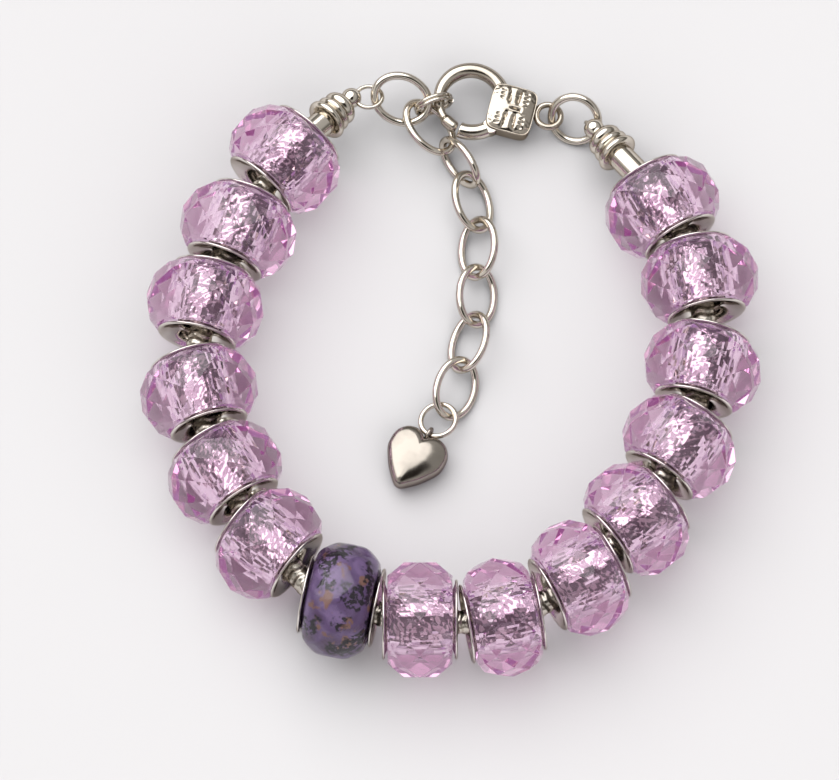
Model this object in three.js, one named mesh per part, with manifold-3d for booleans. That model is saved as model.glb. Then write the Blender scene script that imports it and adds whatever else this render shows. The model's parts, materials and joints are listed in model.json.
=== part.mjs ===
// Beaded bracelet: fifteen faceted large-hole beads on a snake chain, closed by a hoop clasp, with a
// chain of oval links and a puffed heart lying inside the loop. Millimetres, +Z up. The bracelet lies
// on its surface as it was put down; the origin is the centre of its footprint, on that surface.
import * as THREE from 'three';
import { ConvexGeometry } from 'three/addons/geometries/ConvexGeometry.js';
import { mergeVertices } from 'three/addons/utils/BufferGeometryUtils.js';
import Module from 'manifold-3d';

const wasm = await Module();
wasm.setup();

// ---- driving dimensions ----
const BEAD_RADIUS = 7.15;            // bead axis to a corner of its girdle
const FACETS_ROUND = 10;             // diamond-shaped facets round the girdle
const BEAD_RING_Z = [0, 1.9, 3.25, 3.85];   // girdle, then each ring of corners up to the flat end
const BORE_RADIUS = 2.9;
const BORE_MOUTH = { radius: 4.5, depth: 0.85 };   // countersink that takes the core's flared end
const CORE_TUBE = { inner: 2.3, outer: 2.6 };
const RIM = { radius: 4.75, underside: 4.12, top: 4.47 };  // rolled lip of a core, along the bead axis
const CHAIN_RADIUS = 1.45;
const CHAIN_DROP = 0.3;              // the chain lies low in the bores
const CHAIN_SIDE = 0.3;              // and leans to the side where the next bead is
const CHAIN_REACH = 2.8;             // from a bead's middle to where the chain starts to bend
const LINK = { long: 8.1, wide: 5.9, wire: 0.9 };
const CLASP = { hoop: 3.9, block: [5.5, 5.9, 3.2], blockX: 4.87, edge: 0.45, corner: 1.1 };
const HOOP_WIRE = [
  // angle round the hoop, thickness of its wire: a narrow waist for the rings, then a thicker tip
  [28, 1.8],
  [140, 1.8],
  [180, 1.36],
  [200, 1.36],
  [206, 1.0],
  [226, 1.0],
  [232, 1.5],
  [262, 1.5],
];
const LEVER = { wire: 1.9, pivotAngle: -42, sweep: 75, reach: 3.7, seam: 0.3, knuckle: 1.5 };
const HEART = { thick: 3.7, middle: 4.3, dome: 3.0, layers: 9 };
const CORNER_STEP = 10;              // degrees of the hoop between the corners of its wire
const GAP = 0.3;                     // clearance between pieces that touch on the real bracelet

const deg = THREE.MathUtils.degToRad;

// ---- finishes ----
const metal = (name, color, roughness) =>
  new THREE.MeshStandardMaterial({ name, color, metalness: 1, roughness });
const SILVER = metal('silver_tone', 0xc9c2b6, 0.18);
const CORE_SILVER = metal('core_plate', 0xd6d2ca, 0.14);
const CHAIN_SILVER = metal('snake_chain', 0xb9b3a8, 0.3);
const LILAC = new THREE.MeshStandardMaterial({ name: 'lilac', color: 0xc9a6cf, roughness: 0.05 });
const PURPLE = new THREE.MeshStandardMaterial({ name: 'purple', color: 0x6f5f8a, roughness: 0.1 });

// ---- solids: closed meshes in and out of the boolean kernel ----
function toSolid(geometry) {
  const bare = geometry.clone();
  bare.deleteAttribute('normal');
  bare.deleteAttribute('uv');
  const merged = mergeVertices(bare, 1e-4);
  return new wasm.Manifold(new wasm.Mesh({
    numProp: 3,
    vertProperties: new Float32Array(merged.attributes.position.array),
    triVerts: new Uint32Array(merged.index.array),
  }));
}

function toGeometry(solid) {
  const mesh = solid.getMesh();
  const geometry = new THREE.BufferGeometry();
  geometry.setAttribute('position', new THREE.BufferAttribute(mesh.vertProperties, 3));
  geometry.setIndex(new THREE.BufferAttribute(mesh.triVerts, 1));
  return geometry;
}

function place(geometry, x, y, z, turn = new THREE.Euler()) {
  const q = new THREE.Quaternion().setFromEuler(turn);
  const m = new THREE.Matrix4().compose(new THREE.Vector3(x, y, z), q, new THREE.Vector3(1, 1, 1));
  return geometry.applyMatrix4(m);
}

// a turned solid about +Z from a closed outline of [radius, height] pairs
function turned(outline, segments) {
  const points = outline.map(([r, h]) => new THREE.Vector2(r, h));
  if (outline[0][0] > 0) points.push(points[0].clone());
  const lathe = new THREE.LatheGeometry(points, segments);
  return lathe.rotateX(Math.PI / 2);
}

const cylinderZ = (radius, height, segments) =>
  new THREE.CylinderGeometry(radius, radius, height, segments).rotateX(Math.PI / 2);

// a closed skin over rings of corners, each going clockwise about the way that the rings are stacked
function skin(rings) {
  const n = rings[0].length;
  const last = (rings.length - 1) * n;
  const index = [];
  for (let k = 0; k < last; k += 1) {
    const next = k % n === n - 1 ? k + 1 - n : k + 1;
    index.push(k, k + n, next + n, k, next + n, next);
  }
  for (let k = 1; k + 1 < n; k += 1) index.push(0, k, k + 1, last, last + k + 1, last + k);
  return new THREE.BufferGeometry().setFromPoints(rings.flat()).setIndex(index);
}

// an oval in its own XY plane
class Oval extends THREE.Curve {
  constructor(halfLong, halfWide) {
    super();
    Object.assign(this, { halfLong, halfWide });
  }

  getPoint(t, target = new THREE.Vector3()) {
    const a = 2 * Math.PI * t;
    return target.set(this.halfLong * Math.cos(a), this.halfWide * Math.sin(a), 0);
  }
}

// a wire bent to a closed oval; sizes are over the outside of the wire
function wireLoop(long, wide, wire, steps = 20, sides = 6) {
  const path = new Oval((long - wire) / 2, (wide - wire) / 2);
  return new THREE.TubeGeometry(path, steps, wire / 2, sides, true);
}

// a wire along an open path, with flat ends
function wireAlong(path, wire, steps, sides) {
  const section = new THREE.Shape();
  for (let k = 0; k < sides; k += 1) {
    const a = (k / sides) * 2 * Math.PI;
    const p = [(wire / 2) * Math.cos(a), (wire / 2) * Math.sin(a)];
    if (k === 0) section.moveTo(...p);
    else section.lineTo(...p);
  }
  return new THREE.ExtrudeGeometry(section, { extrudePath: path, steps, bevelEnabled: false });
}

const bracelet = new THREE.Group();

function add(name, geometry, material, parent = bracelet) {
  const mesh = new THREE.Mesh(geometry, material);
  mesh.name = name;
  parent.add(mesh);
  return mesh;
}

// ---- beads: fifteen lying in a loop, each on its lowest facet or corner ----
// heading: degrees from +X, along the chain; spin: degrees that the lowest facet is turned from flat
const BEADS = [
  // x, y, heading, spin
  [-19.9, 28.6, -131, 6],
  [-25.4, 19.6, -112, -9],
  [-29.3, 10.2, -103, 4],
  [-30.0, -1.0, -74, 12],
  [-26.9, -11.0, -59, -5],
  [-21.7, -20.0, -40, 11],
  [-13.1, -27.1, -12, 0],
  [-3.8, -29.5, 0, 3],
  [6.0, -29.3, 11, -12],
  [15.1, -24.3, 29, 8],
  [21.8, -16.9, 39, -4],
  [26.9, -7.8, 57, 15],
  [29.7, 2.2, 76, 0],
  [29.4, 13.2, 101, -8],
  [25.0, 22.5, 119, 5],
].map(([x, y, heading, spin]) => ({ x, y, heading, spin, z: restHeight(spin) }));

const PURPLE_BEAD = 7;

// height of a bead's axis when its lowest girdle facet is turned by spin
function restHeight(spin) {
  return BEAD_RADIUS * Math.cos(Math.PI / FACETS_ROUND - Math.abs(deg(spin)));
}

// Radii of the rings of corners. Alternate rings are turned by half a facet, and each radius is the
// one that keeps every four-cornered facet flat.
function ringRadii() {
  const c = Math.cos(Math.PI / FACETS_ROUND);
  const z = BEAD_RING_Z;
  const radii = [BEAD_RADIUS, BEAD_RADIUS * c];
  for (let k = 2; k < z.length; k += 1) {
    const slope = (radii[k - 2] - radii[k - 1] * c) / (z[k - 1] - z[k - 2]);
    radii.push(radii[k - 2] - slope * (z[k] - z[k - 2]));
  }
  return radii;
}

// a bead along +Z, with a flat girdle facet facing -Y
function beadGeometry() {
  const radii = ringRadii();
  const corners = [];
  radii.forEach((r, ring) => {
    for (let k = 0; k < FACETS_ROUND; k += 1) {
      const a = ((k + 0.5 + (ring % 2) / 2) * 2 * Math.PI) / FACETS_ROUND - Math.PI / 2;
      for (const z of ring === 0 ? [0] : [BEAD_RING_Z[ring], -BEAD_RING_Z[ring]]) {
        corners.push(new THREE.Vector3(r * Math.cos(a), r * Math.sin(a), z));
      }
    }
  });
  const end = BEAD_RING_Z.at(-1);
  const past = 0.2;
  const slope = (BORE_MOUTH.radius - BORE_RADIUS) / BORE_MOUTH.depth;
  const bore = turned([
    [0, -end - past],
    [BORE_MOUTH.radius + slope * past, -end - past],
    [BORE_RADIUS, -end + BORE_MOUTH.depth],
    [BORE_RADIUS, end - BORE_MOUTH.depth],
    [BORE_MOUTH.radius + slope * past, end + past],
    [0, end + past],
  ], 10);
  return toGeometry(toSolid(new ConvexGeometry(corners)).subtract(toSolid(bore)));
}

// a bead's lining along +Z: a thin tube, flared at both ends into a rolled lip
function coreGeometry() {
  const flare = BEAD_RING_Z.at(-1) - BORE_MOUTH.depth;
  const half = [
    [CORE_TUBE.outer, flare + 0.12],
    [RIM.radius - 0.4, RIM.underside],
    [RIM.radius, (RIM.underside + RIM.top) / 2],
    [RIM.radius - 0.35, RIM.top],
    [CORE_TUBE.inner, flare],
  ];
  const outline = [...half.map(([r, z]) => [r, -z]).reverse(), ...half];
  return turned(outline, 12);
}

const alongHeading = (heading, spin) =>
  new THREE.Euler(deg(spin), 0, deg(heading), 'ZYX');

function addBeads() {
  const bead = beadGeometry().rotateX(Math.PI / 2).rotateZ(Math.PI / 2);
  const core = coreGeometry().rotateX(Math.PI / 2).rotateZ(Math.PI / 2);
  BEADS.forEach(({ x, y, z, heading, spin }, i) => {
    const number = String(i + 1).padStart(2, '0');
    const stand = new THREE.Group();
    stand.position.set(x, y, z);
    stand.setRotationFromEuler(alongHeading(heading, spin));
    bracelet.add(stand);
    add(`bead_${number}`, bead, i + 1 === PURPLE_BEAD ? PURPLE : LILAC, stand);
    add(`bead_core_${number}`, core, CORE_SILVER, stand);
  });
}

addBeads();

// ---- end caps: ball, ridges and a plain neck that slides into the end bead's core ----
// Distances run from the ball's centre towards the bead. The ball is drilled for its wire ring.
const CAP = { ball: 1.2, ballArc: 128, neck: 1.6, end: 10.4, drill: 0.85 };
const CAP_OUTLINE = [
  // radius, distance
  [0.85, 1.0],
  [1.5, 1.25],
  [2.0, 1.75],
  [2.15, 2.2],
  [1.95, 2.6],
  [1.75, 2.75],
  [2.15, 2.95],
  [2.3, 3.3],
  [2.1, 3.65],
  [1.9, 3.8],
  [2.35, 4.05],
  [2.6, 4.45],
  [2.4, 4.9],
  [CAP.neck, 5.1],
  [CAP.neck, CAP.end],
  [0, CAP.end],
];
const CAP_RING = { size: 3.7, wire: 0.5, reach: 2.1 };
const CAPS = [
  // side, bead, way out of the bead (+1 along its heading), crossing, ball from it, heading, drop,
  // then the ring's heading, pitch and tilt
  ['left', 1, -1, 2.6, 9.52, 47.2, 15.6, 3.7, -0.9, -17.7],
  ['right', 15, 1, 2.8, 11.1, 128.5, 13.5, 237.7, -105.7, 9.2],
].map(([side, bead, way, cross, length, heading, drop, ringHeading, ringPitch, ringTilt]) => (
  { side, bead, way, cross, length, heading, drop, ringHeading, ringPitch, ringTilt }));

// unit vector from a heading in plan and a pitch above the surface
function direction(heading, pitch) {
  const h = deg(heading);
  const p = deg(pitch);
  return new THREE.Vector3(Math.cos(h) * Math.cos(p), Math.sin(h) * Math.cos(p), Math.sin(p));
}

const pose = (heading, pitch, tilt) => new THREE.Euler(deg(tilt), -deg(pitch), deg(heading), 'ZYX');

function ballCentre({ bead, way, cross, length, heading, drop }) {
  const { x, y, z, heading: beadHeading } = BEADS[bead - 1];
  return new THREE.Vector3(x, y, z)
    .addScaledVector(direction(beadHeading, 0), way * cross)
    .addScaledVector(direction(heading, -drop), length);
}

function capGeometry() {
  const outline = [];
  for (let k = 0; k <= 6; k += 1) {
    const a = (k / 6) * deg(CAP.ballArc);
    outline.push([CAP.ball * Math.sin(a), -CAP.ball * Math.cos(a)]);
  }
  return turned([...outline, ...CAP_OUTLINE], 16);
}

function addCaps() {
  CAPS.forEach((cap) => {
    const ball = ballCentre(cap);
    const turn = pose(cap.heading + 180, cap.drop, 0);
    const body = place(capGeometry().rotateY(Math.PI / 2), ...ball, turn);
    const centre = ball.clone().addScaledVector(direction(cap.ringHeading, cap.ringPitch), CAP_RING.reach);
    const ringTurn = pose(cap.ringHeading, cap.ringPitch, cap.ringTilt);
    const across = CAP_RING.size - CAP_RING.wire;
    const drill = wireLoop(across + CAP.drill, across + CAP.drill, CAP.drill, 24, 8);
    const drilled = toSolid(body).subtract(toSolid(place(drill, ...centre, ringTurn)));
    add(`end_cap_${cap.side}`, toGeometry(drilled), SILVER);
    const ring = add(`cap_ring_${cap.side}`, wireLoop(CAP_RING.size, CAP_RING.size, CAP_RING.wire), SILVER);
    ring.position.copy(centre);
    ring.setRotationFromEuler(ringTurn);
  });
}

addCaps();

// ---- snake chain: along the beads' axes, low in their bores, from one cap's neck to the other ----
function chainEnd(cap) {
  return [GAP, 4 * GAP].map((past) =>
    ballCentre(cap).addScaledVector(direction(cap.heading, -cap.drop), -(CAP.end + past)));
}

// moves a point sideways off a bead's axis, towards the next stop of the chain, by at most CHAIN_SIDE
function leaning(point, next, along) {
  const aside = next.clone().sub(point).projectOnPlane(along).clampLength(0, CHAIN_SIDE);
  return point.clone().add(aside);
}

function addChain() {
  const bores = BEADS.map(({ x, y, z, heading }) => {
    const along = direction(heading, 0);
    const low = new THREE.Vector3(x, y, z - CHAIN_DROP);
    const [start, finish] = [-CHAIN_REACH, CHAIN_REACH].map((at) => low.clone().addScaledVector(along, at));
    return { along, start, finish };
  });
  const stops = bores.slice(1).flatMap((bore, i) => [
    leaning(bores[i].finish, bore.start, bores[i].along),
    leaning(bore.start, bores[i].finish, bore.along),
  ]);
  const route = new THREE.CatmullRomCurve3([
    ...chainEnd(CAPS[0]), ...stops, ...chainEnd(CAPS[1]).reverse()]);
  add('core_chain', wireAlong(route, 2 * CHAIN_RADIUS, 76, 8), CHAIN_SILVER);
}

addChain();

// ---- loose rings and links, each lying where it came to rest ----
const LOOPS = [
  // name, long, wide, wire, x, y, z, heading, pitch, tilt
  ['link_left', 7.65, 6.45, 0.95, -5.98, 37.24, 4.17, -22.3, -14.5, 29.3],
  ['jump_ring_right', 6.65, 6.65, 0.95, 14.64, 35.34, 2.47, -9, 8.8, 43.6],
  ['chain_link_1', LINK.long, LINK.wide, LINK.wire, -2.64, 34.16, 2.84, -52.5, -6.3, -24.9],
  ['chain_link_2', LINK.long, LINK.wide, LINK.wire, 0.94, 29.61, 3.12, -51.7, 25.4, 71.2],
  ['chain_link_3', LINK.long, LINK.wide, LINK.wire, 2.45, 25.0, 2.0, -78, -2, -37],
  ['chain_link_4', LINK.long, LINK.wide, LINK.wire, 3.1, 19.1, 2.05, -91, -1, 38],
  ['chain_link_5', LINK.long, LINK.wide, LINK.wire, 2.95, 13.1, 1.95, -96, 0, -36],
  ['chain_link_6', LINK.long, LINK.wide, LINK.wire, 2.0, 7.2, 2.05, -103, 0, 38],
  ['chain_link_7', LINK.long, LINK.wide, LINK.wire, 0.45, 1.45, 1.8, -109, -3, -32],
  ['heart_ring', 4.9, 4.9, 0.65, -1.62, -2.57, 1.82, -184.5, -11.7, 6.8],
];

function addLoops() {
  LOOPS.forEach(([name, long, wide, wire, x, y, z, heading, pitch, tilt]) => {
    const loop = add(name, wireLoop(long, wide, wire), SILVER);
    loop.position.set(x, y, z);
    loop.setRotationFromEuler(pose(heading, pitch, tilt));
  });
}

addLoops();

// ---- split ring: two turns of thin wire side by side, standing almost upright ----
const SPLIT = { size: 4.85, wire: 0.52, width: 0.96 };
const SPLIT_POSE = { x: -2.16, y: 36.97, z: 3.14, heading: 19.4, pitch: 0.7, tilt: 90.9 };

function addSplitRing() {
  const outer = SPLIT.size / 2;
  const inner = outer - SPLIT.wire;
  const half = SPLIT.width / 2;
  const soft = SPLIT.wire / 3;
  const ring = turned([
    [inner, -half + soft],
    [inner + soft, -half],
    [outer - soft, -half],
    [outer, -half + soft],
    [outer, half - soft],
    [outer - soft, half],
    [inner + soft, half],
    [inner, half - soft],
  ], 20);
  const mesh = add('split_ring', ring, SILVER);
  mesh.position.set(SPLIT_POSE.x, SPLIT_POSE.y, SPLIT_POSE.z);
  mesh.setRotationFromEuler(pose(SPLIT_POSE.heading, SPLIT_POSE.pitch, SPLIT_POSE.tilt));
}

addSplitRing();

// ---- clasp: hoop, block and eye in one casting, and the lever that closes the hoop ----
// In the clasp's own frame the hoop's centre is the origin, +X runs to the block and +Z is its top.
const CLASP_POSE = { x: 2.35, y: 37.4, z: 3.0, heading: -14, pitch: -5 };
const EYE = { size: 3.7, wire: 0.75, x: 9.3, y: 0.7, tilt: -6 };
const pivot = new THREE.Vector3(
  CLASP.hoop * Math.cos(deg(LEVER.pivotAngle)), CLASP.hoop * Math.sin(deg(LEVER.pivotAngle)), 0);

function blockGeometry() {
  const { block: [length, width, thick], edge, corner } = CLASP;
  const x = length / 2 - edge;
  const y = width / 2 - edge;
  const outline = new THREE.Shape();
  outline.absarc(x - corner, y - corner, corner, 0, Math.PI / 2);
  outline.absarc(corner - x, y - corner, corner, Math.PI / 2, Math.PI);
  outline.absarc(corner - x, corner - y, corner, Math.PI, 1.5 * Math.PI);
  outline.absarc(x - corner, corner - y, corner, 1.5 * Math.PI, 2 * Math.PI);
  const block = new THREE.ExtrudeGeometry(outline, {
    depth: thick - 2 * edge, curveSegments: 3, bevelThickness: edge, bevelSize: edge, bevelSegments: 2,
  });
  return block.translate(CLASP.blockX, 0, edge - thick / 2);
}

// a round wire along an arc of the hoop, from a table of angles and thicknesses
function hoopWire(stops, sides = 8) {
  const rings = stops.slice(1).flatMap(([to, thickTo], k) => {
    const [from, thickFrom] = stops[k];
    const n = Math.ceil((to - from) / CORNER_STEP);
    return Array.from({ length: n }, (_, i) => (
      [from + ((to - from) * i) / n, thickFrom + ((thickTo - thickFrom) * i) / n]));
  });
  return skin([...rings, stops.at(-1)].map(([at, thick]) => (
    Array.from({ length: sides }, (_, k) => {
      const a = (2 * Math.PI * k) / sides;
      const out = CLASP.hoop + (thick / 2) * Math.cos(a);
      return new THREE.Vector3(out * Math.cos(deg(at)), out * Math.sin(deg(at)), (thick / 2) * Math.sin(a));
    }))));
}

const atPivot = (radius, height, segments) =>
  toSolid(place(cylinderZ(radius, height, segments), ...pivot));

function claspBody() {
  const reach = atPivot(LEVER.reach + LEVER.seam, 2 * LEVER.wire, 32);
  const pocket = atPivot(LEVER.wire / 2 + GAP, LEVER.wire + 2 * GAP, 16);
  const eye = place(wireLoop(EYE.size, EYE.size, EYE.wire), EYE.x, EYE.y, 0, pose(0, 0, EYE.tilt));
  return toSolid(hoopWire(HOOP_WIRE)).subtract(reach)
    .add(toSolid(blockGeometry()).subtract(pocket))
    .add(toSolid(eye));
}

// the gate pivots in the block's pocket, and its far end is cut on an arc about that pivot
function leverBody() {
  const { wire, pivotAngle, sweep, knuckle } = LEVER;
  const gate = toSolid(hoopWire([[pivotAngle - sweep, wire], [pivotAngle, wire]]));
  return gate.intersect(atPivot(LEVER.reach, 2 * wire, 32)).add(atPivot(wire / 2, knuckle, 16));
}

function addClasp() {
  const clasp = new THREE.Group();
  clasp.position.set(CLASP_POSE.x, CLASP_POSE.y, CLASP_POSE.z);
  clasp.setRotationFromEuler(pose(CLASP_POSE.heading, CLASP_POSE.pitch, 0));
  bracelet.add(clasp);
  add('clasp_body', toGeometry(claspBody()), SILVER, clasp);
  add('clasp_lever', toGeometry(leverBody()), SILVER, clasp);
}

addClasp();

// ---- puffed heart with a small lug at its notch ----
const HEART_POSE = { x: -6.56, y: -10.95, heading: 60 };   // its tip, and the way to its notch
const LUG = { size: 1.9, wire: 0.5, from: 7.6 };           // from: the lug's middle, off the tip
const HEART_OUTLINE = [
  // distance from the tip, half-width
  [0, 0],
  [0.1, 0.45],
  [0.65, 1.1],
  [1.7, 2.1],
  [2.85, 2.9],
  [3.8, 3.45],
  [4.65, 3.62],
  [5.7, 3.58],
  [6.5, 3.27],
  [7.15, 2.65],
  [7.42, 2.0],
  [7.47, 1.4],
  [7.28, 0.78],
  [6.98, 0.35],
  [6.7, 0],
];

// Layers of the heart from its underside to its top. The outline shrinks towards the middle of the
// dome and turns from a heart into a circle on the way.
function heartGeometry() {
  const near = HEART_OUTLINE.slice(1, -1);
  const round = [HEART_OUTLINE[0], ...near, HEART_OUTLINE.at(-1), ...near.reverse().map(([x, y]) => [x, -y])];
  const rings = Array.from({ length: HEART.layers }, (_, k) => {
    const up = Math.PI * ((k + 0.5) / HEART.layers - 0.5);
    const size = Math.cos(up);
    return round.map(([x, y]) => {
      const far = Math.hypot(x - HEART.middle, y);
      const scale = size * (size + ((1 - size) * HEART.dome) / far);
      return new THREE.Vector3(
        HEART.middle + (x - HEART.middle) * scale, y * scale, (HEART.thick / 2) * Math.sin(up));
    });
  });
  return skin(rings);
}

function addHeart() {
  const lug = place(wireLoop(LUG.size, LUG.size, LUG.wire, 16, 6), LUG.from, 0, 0,
    new THREE.Euler(Math.PI / 2, 0, 0));
  const heart = toSolid(heartGeometry()).add(toSolid(lug));
  const mesh = add('heart_charm', toGeometry(heart), SILVER);
  mesh.position.set(HEART_POSE.x, HEART_POSE.y, HEART.thick / 2);
  mesh.setRotationFromEuler(pose(HEART_POSE.heading, 0, 0));
}

addHeart();

// ---- origin: centre of the footprint, on the surface ----
const box = new THREE.Box3().setFromObject(bracelet, true);
const middle = box.getCenter(new THREE.Vector3());
bracelet.position.set(-middle.x, -middle.y, -box.min.z);

export default bracelet;
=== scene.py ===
# %% [markdown]
# # A beaded bracelet, lying in a loop
# Fifteen large-hole beads are threaded on a snake chain. Fourteen are clear lilac acrylic cut in
# diamond facets, one is a marbled purple, and each has a plated metal core whose ends flare into a
# polished rim. End caps, rings and a hoop clasp close the loop, and a short chain with a puffed heart
# lies inside it. Every piece below is worked out in millimetres from a few named sizes, then put into
# a mesh in metres where the CAD frame says it lies.

# %% Load the frame
import json

import bmesh
import bpy
import numpy as np
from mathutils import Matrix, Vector


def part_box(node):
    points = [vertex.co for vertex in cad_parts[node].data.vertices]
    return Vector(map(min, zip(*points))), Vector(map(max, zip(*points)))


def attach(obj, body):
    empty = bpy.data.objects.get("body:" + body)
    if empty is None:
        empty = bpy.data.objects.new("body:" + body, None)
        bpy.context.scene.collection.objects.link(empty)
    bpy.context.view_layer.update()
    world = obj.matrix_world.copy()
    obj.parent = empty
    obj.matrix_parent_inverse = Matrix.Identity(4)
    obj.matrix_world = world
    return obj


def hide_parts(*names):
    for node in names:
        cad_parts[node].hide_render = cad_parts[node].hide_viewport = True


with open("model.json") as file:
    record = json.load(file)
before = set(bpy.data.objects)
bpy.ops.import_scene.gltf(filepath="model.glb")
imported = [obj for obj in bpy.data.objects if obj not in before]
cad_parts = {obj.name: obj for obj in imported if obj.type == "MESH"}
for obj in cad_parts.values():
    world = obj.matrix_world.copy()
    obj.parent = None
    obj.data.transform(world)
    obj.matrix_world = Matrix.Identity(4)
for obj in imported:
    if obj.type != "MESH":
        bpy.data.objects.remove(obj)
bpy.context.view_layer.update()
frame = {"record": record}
MM = 0.001


# %% Helpers: places and turns
def middle(node):
    """Middle of a CAD node's box, half the sum of its two corners, in millimetres."""
    return np.sum(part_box(node), axis=0) / 2 / MM


def turn(heading, pitch=0.0, tilt=0.0):
    """Rotation that tilts about X, raises the nose of X by pitch, then turns it to heading; degrees."""
    (ch, cp, ct), (sh, sp, st) = (f(np.radians([heading, pitch, tilt])) for f in (np.cos, np.sin))
    about_z = np.array([[ch, -sh, 0], [sh, ch, 0], [0, 0, 1]])
    about_y = np.array([[cp, 0, -sp], [0, 1, 0], [sp, 0, cp]])
    about_x = np.array([[1, 0, 0], [0, ct, -st], [0, st, ct]])
    return about_z @ about_y @ about_x


def placed(points, rotation, at):
    """Every point turned, then moved: rotation times point, plus place."""
    return points @ rotation.T + at


def unit(vectors):
    """Each vector over its own length."""
    return vectors / np.linalg.norm(vectors, axis=-1, keepdims=True)


# %% [markdown]
# ## Surfaces as grids
# Almost every piece of metal here is either turned on a lathe or bent from wire. Both are a grid of
# points: rows along the outline or the wire, columns around it. One function lays the four-cornered
# faces over such a grid, and one puts a grid into a mesh. The mesh maker also measures the volume: a
# closed skin whose faces look outwards has a positive one, so a wrong turn is caught and mended there.

# %% Grid tools
WELD_DISTANCE = 1e-7                        # metres


def grid_faces(rows, columns, ring_of_rows=False):
    """Corners of the faces between neighbouring rows and columns; the last column joins the first."""
    row = np.arange(rows if ring_of_rows else rows - 1)[:, None]
    column = np.arange(columns)[None, :]
    next_row, next_column = (row + 1) % rows, (column + 1) % columns
    corners = [row * columns + column, row * columns + next_column,
               next_row * columns + next_column, next_row * columns + column]
    return np.stack(np.broadcast_arrays(*corners), axis=-1).reshape(-1, 4)


def signed_volume(points, faces):
    """A sixth of the sum, over each face's fan of triangles, of first corner . (second x third)."""
    fans = [(f[:, 0], f[:, k], f[:, k + 1]) for f in faces for k in range(1, f.shape[1] - 1)]
    return sum(np.einsum("ij,ij->", points[a], np.cross(points[b], points[c])) for a, b, c in fans) / 6


def add_piece(name, points, faces, material, node, body="bracelet", crease=40, weld=False):
    """A mesh piece in metres that rides on a CAD body and stands for a CAD node. It is smooth but for
    edges that turn by more than crease degrees; weld closes the poles of a lathe or a ball."""
    if signed_volume(points, faces) < 0:
        faces = [f[:, ::-1] for f in faces]
    mesh = bpy.data.meshes.new(name)
    mesh.from_pydata(points * MM, [], [corners for f in faces for corners in f.tolist()])
    if weld:
        merged = bmesh.new()
        merged.from_mesh(mesh)
        bmesh.ops.remove_doubles(merged, verts=merged.verts, dist=WELD_DISTANCE)
        merged.to_mesh(mesh)
        merged.free()
    mesh.polygons.foreach_set("use_smooth", np.ones(len(mesh.polygons), dtype=bool))
    mesh.set_sharp_from_angle(angle=np.radians(crease))
    mesh.materials.append(material)
    piece = bpy.data.objects.new(name, mesh)
    bpy.context.scene.collection.objects.link(piece)
    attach(piece, body)
    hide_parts(node)
    return piece


def lathe(outline, columns, closed=True):
    """A turned surface about Z: radius times (cos, sin) of each column's angle, at each height."""
    radius, height = np.asarray(outline, float).T
    angle = 2 * np.pi * np.arange(columns) / columns
    points = np.stack([radius[:, None] * np.cos(angle), radius[:, None] * np.sin(angle),
                       np.repeat(height[:, None], columns, axis=1)], axis=-1)
    return points.reshape(-1, 3), [grid_faces(len(radius), columns, ring_of_rows=closed)]


def rounded(points, steps, closed=False):
    """A smooth line through points (Catmull-Rom): each span is a cubic whose slope at a point is half
    the way from the point before it to the point after it."""
    p = np.asarray(points, float)
    before, after = (np.roll(p, 1, axis=0), np.roll(p, -1, axis=0)) if closed else (
        np.concatenate([p[:1], p[:-1]]), np.concatenate([p[1:], p[-1:]]))
    slope = (after - before) / 2
    spans = len(p) if closed else len(p) - 1
    a, b, sa, sb = p[:spans], after[:spans], slope[:spans], np.roll(slope, -1, axis=0)[:spans]
    t = (np.arange(steps) / steps)[None, :, None]
    line = ((2 * t**3 - 3 * t**2 + 1) * a[:, None] + (t**3 - 2 * t**2 + t) * sa[:, None]
            + (3 * t**2 - 2 * t**3) * b[:, None] + (t**3 - t**2) * sb[:, None]).reshape(-1, p.shape[1])
    return line if closed else np.concatenate([line, p[-1:]])


def wire(path, radius, columns, up, closed=False):
    """A round wire along a path. Each ring is path + radius (cos a * side + sin a * upright), where
    side is across both the path and up. radius is one number or one for each point of the grid."""
    ahead = unit(np.roll(path, -1, axis=0) - np.roll(path, 1, axis=0) if closed
                 else np.gradient(path, axis=0))
    side = unit(np.cross(up, ahead))
    upright = np.cross(ahead, side)
    angle = 2 * np.pi * np.arange(columns) / columns
    out = np.cos(angle)[:, None] * side[:, None] + np.sin(angle)[:, None] * upright[:, None]
    points = path[:, None] + np.broadcast_to(radius, (len(path), columns))[..., None] * out
    faces = [grid_faces(len(path), columns, ring_of_rows=closed)]
    if not closed:
        ends = np.arange(columns)[None, :]
        faces += [ends[:, ::-1], ends + (len(path) - 1) * columns]
    return points.reshape(-1, 3), faces


def joined(*shapes):
    """Several (points, faces) shapes as one: the later ones' corner numbers are moved on."""
    starts = np.cumsum([0] + [len(points) for points, _ in shapes])
    return (np.concatenate([points for points, _ in shapes]),
            [f + start for (_, faces), start in zip(shapes, starts) for f in faces])


# %% [markdown]
# ## Camera, floor and light
# The bracelet lies on a pale table and is seen from steeply above. A long lens keeps the far beads as
# large as the near ones. One large soft lamp stands high behind the table on the left, a weaker one in
# front lifts the shadows without showing in anything, and a plain pale room gives the rest of the
# light. Polished metal shows whatever is round it, so the room is darker near the table and dark in a
# patch overhead, where a camera would be. Clear plastic would show those dark parts as holes, so light
# that has come through it finds them filled with a paler room.

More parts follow.
